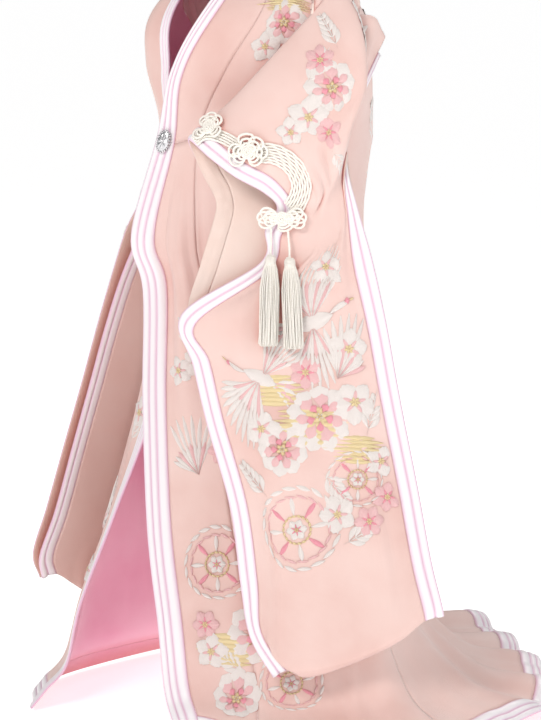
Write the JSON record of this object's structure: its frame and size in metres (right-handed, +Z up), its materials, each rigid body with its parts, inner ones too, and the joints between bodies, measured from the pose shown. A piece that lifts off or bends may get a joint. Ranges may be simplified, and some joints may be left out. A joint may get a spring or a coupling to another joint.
{
  "type": "uchikake wedding kimono",
  "caption": "Long padded Japanese wedding over-kimono, worn open and clipped at the waist, with hanging sleeves, corded cuffs and a trailing hem.",
  "frame": {"origin": "where the wearer's shoulders hold the garment, 1.36 m above the floor, midway between the shoulders", "axes": "+Z up, the wearer faces -Y, the wearer's left is +X"},
  "size_m": [0.8975, 1.0049, 1.452],
  "materials": {
    "peach_crepe_silk": "woven silk crepe with a soft sheen",
    "padded_satin_band": "padded white satin with a pink sheen",
    "ivory_cord": "twisted rayon cord",
    "silver_clip": "silver plate"
  },
  "bodies": {
    "root": {"back_band_left_back": "padded_satin_band", "back_band_left_front": "padded_satin_band", "back_band_right_back": "padded_satin_band", "back_band_right_front": "padded_satin_band", "back_left": "peach_crepe_silk", "back_right": "peach_crepe_silk", "braid_left": "ivory_cord", "braid_right": "ivory_cord", "collar_back": "peach_crepe_silk", "collar_edge_back": "padded_satin_band", "collar_left": "peach_crepe_silk", "collar_right": "peach_crepe_silk", "edge_left": "padded_satin_band", "edge_right": "padded_satin_band", "front_clip": "silver_clip", "front_left": "peach_crepe_silk", "front_right": "peach_crepe_silk", "hem_back_left": "padded_satin_band", "hem_back_right": "padded_satin_band", "hem_front_left": "padded_satin_band", "hem_front_right": "padded_satin_band", "knot_left_1": "ivory_cord", "knot_left_2": "ivory_cord", "knot_left_3": "ivory_cord", "knot_right_1": "ivory_cord", "knot_right_2": "ivory_cord", "knot_right_3": "ivory_cord", "okumi_left": "peach_crepe_silk", "okumi_right": "peach_crepe_silk", "sleeve_left_back": "peach_crepe_silk", "sleeve_left_front": "peach_crepe_silk", "sleeve_right_back": "peach_crepe_silk", "sleeve_right_front": "peach_crepe_silk", "tassel_left_1": "ivory_cord", "tassel_left_2": "ivory_cord", "tassel_right_1": "ivory_cord", "tassel_right_2": "ivory_cord", "wrist_band_left_back": "padded_satin_band", "wrist_band_left_front": "padded_satin_band", "wrist_band_right_back": "padded_satin_band", "wrist_band_right_front": "padded_satin_band"}
  },
  "joints": []
}
